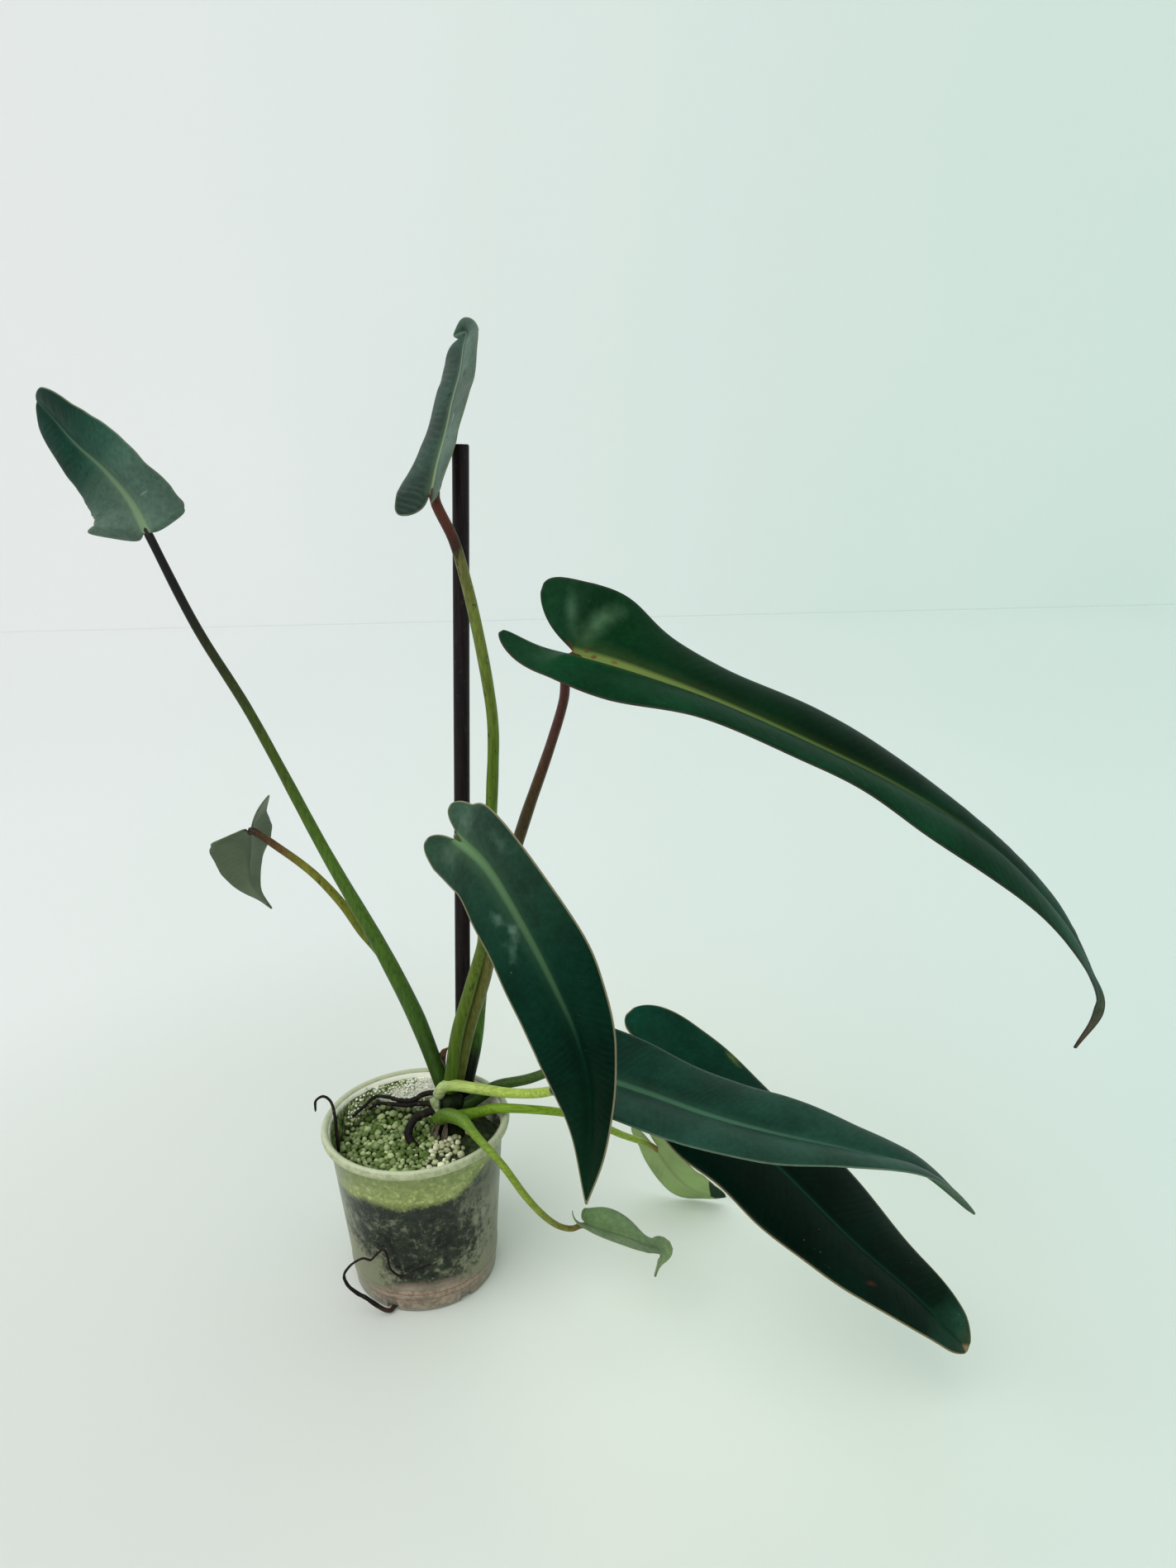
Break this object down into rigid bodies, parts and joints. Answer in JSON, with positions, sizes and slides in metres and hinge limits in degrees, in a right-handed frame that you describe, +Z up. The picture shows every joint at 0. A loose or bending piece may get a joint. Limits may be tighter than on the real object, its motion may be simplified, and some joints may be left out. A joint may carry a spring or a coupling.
{
  "type": "potted philodendron spiritus-sancti",
  "caption": "Philodendron with long hanging arrow-shaped leaves on bent stalks, beside a dark stake in a clear tapered nursery pot of gritty mix.",
  "frame": {"origin": "centre of the pot's underside, on the surface that it stands on", "axes": "+Z up, +X towards the long leaves, -Y towards the side that the plant is viewed from"},
  "size_m": [0.4582, 0.2333, 0.4466],
  "materials": {
    "clear_plastic": "clear thin plastic, clouded and stained green",
    "dark_mix": "damp bark and compost with algae",
    "pale_grit": "rounded pale grit with green algae",
    "stem_bark": "ringed corky stem",
    "stake_coating": "dark smooth coated rod",
    "stalk_green": "satin green stalk with dark marks",
    "stalk_olive": "satin olive stalk, red brown above",
    "stalk_yellow": "satin yellow green stalk",
    "leaf_dark": "satin dark green leaf",
    "leaf_young": "satin grey green young leaf",
    "root_brown": "dry dark root",
    "bract_tan": "dry papery bract"
  },
  "bodies": {
    "root": {"pot": "clear_plastic", "potting_mix": "dark_mix", "top_dressing": "pale_grit", "stem": "stem_bark", "stake": "stake_coating", "stalk_left_tall": "stalk_green", "stalk_top_middle": "stalk_green", "stalk_right_long": "stalk_olive", "stalk_front_hanging": "stalk_green", "stalk_right_upper": "stalk_yellow", "stalk_right_lower": "stalk_green", "stalk_small_front": "stalk_yellow", "stalk_small_right": "stalk_yellow", "stalk_small_left": "stalk_olive", "leaf_left_tall": "leaf_dark", "leaf_top_middle": "leaf_dark", "leaf_right_long": "leaf_dark", "leaf_front_hanging": "leaf_dark", "leaf_right_upper": "leaf_dark", "leaf_right_lower": "leaf_dark", "leaf_small_front": "leaf_young", "leaf_small_right": "leaf_young", "leaf_small_left": "leaf_young", "root_back": "root_brown", "root_middle": "root_brown", "root_curved": "root_brown", "root_over_rim": "root_brown", "root_outside": "root_brown", "dried_bract": "bract_tan"}
  },
  "joints": []
}
